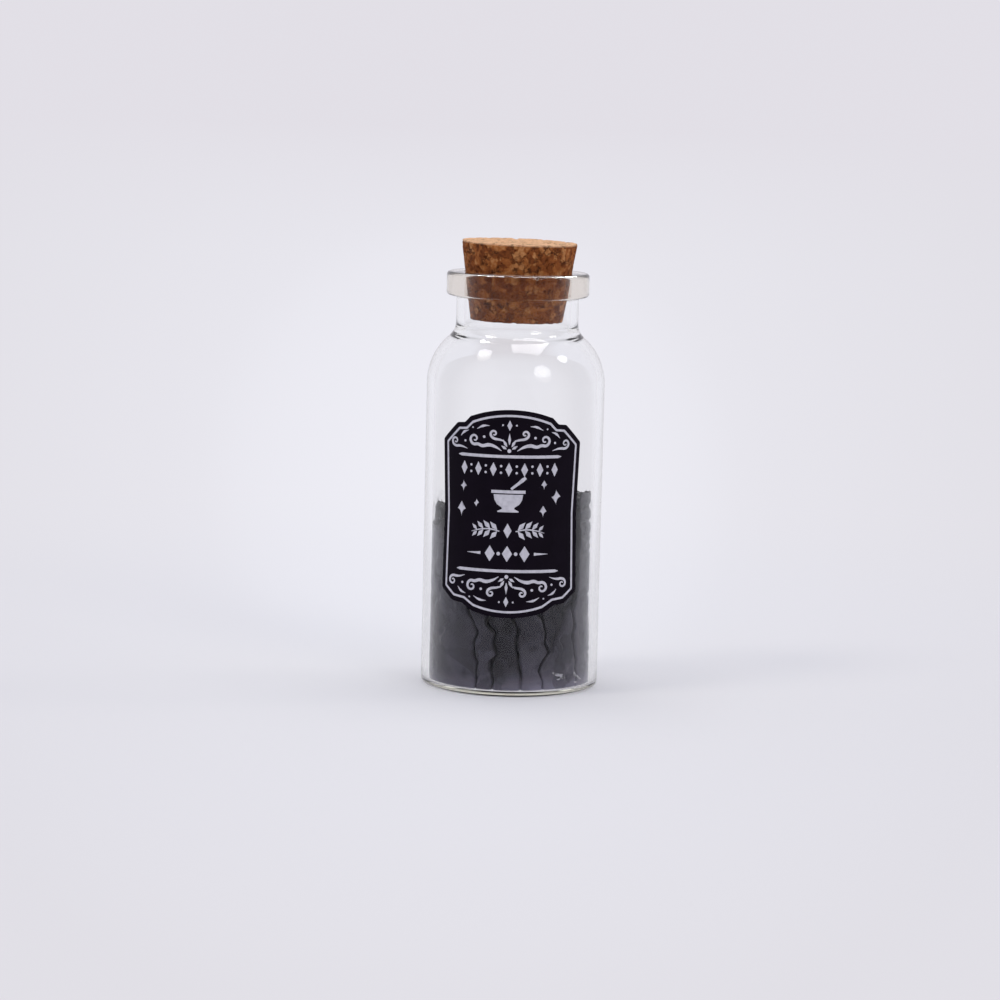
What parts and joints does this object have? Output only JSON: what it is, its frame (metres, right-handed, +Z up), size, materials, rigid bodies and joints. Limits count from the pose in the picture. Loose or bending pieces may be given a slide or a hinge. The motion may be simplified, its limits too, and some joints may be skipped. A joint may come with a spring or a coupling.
{
  "type": "poison bottle",
  "caption": "Small clear glass vial with a tapered cork that pulls out, a black plaque-shaped sticker on the front and a filling of torn, crumpled dark sheet.",
  "frame": {"origin": "on the bottle's axis, at the middle of the ring that it stands on", "axes": "+Z up along the bottle's axis; -Y is the front, where the label is; +X is to the right of the label"},
  "size_m": [0.03, 0.0301, 0.0753],
  "materials": {
    "glass": "clear, polished",
    "cork": "raw agglomerated cork",
    "label": "satin vinyl",
    "filling": "crumpled dark sheet"
  },
  "bodies": {
    "bottle": {"glass_bottle": "glass", "label_face": "label", "filling_core": "filling", "filling_scrap_01": "filling", "filling_scrap_02": "filling", "filling_scrap_03": "filling", "filling_scrap_04": "filling", "filling_scrap_05": "filling", "filling_scrap_06": "filling", "filling_scrap_07": "filling", "filling_scrap_08": "filling", "filling_scrap_09": "filling", "filling_scrap_10": "filling"},
    "stopper": {"cork_stopper": "cork"}
  },
  "joints": [
    {"name": "cork_lift", "type": "slide", "parent": "bottle", "child": "stopper", "axis": [0, 0, 1], "range_m": [0, 0.035]}
  ]
}
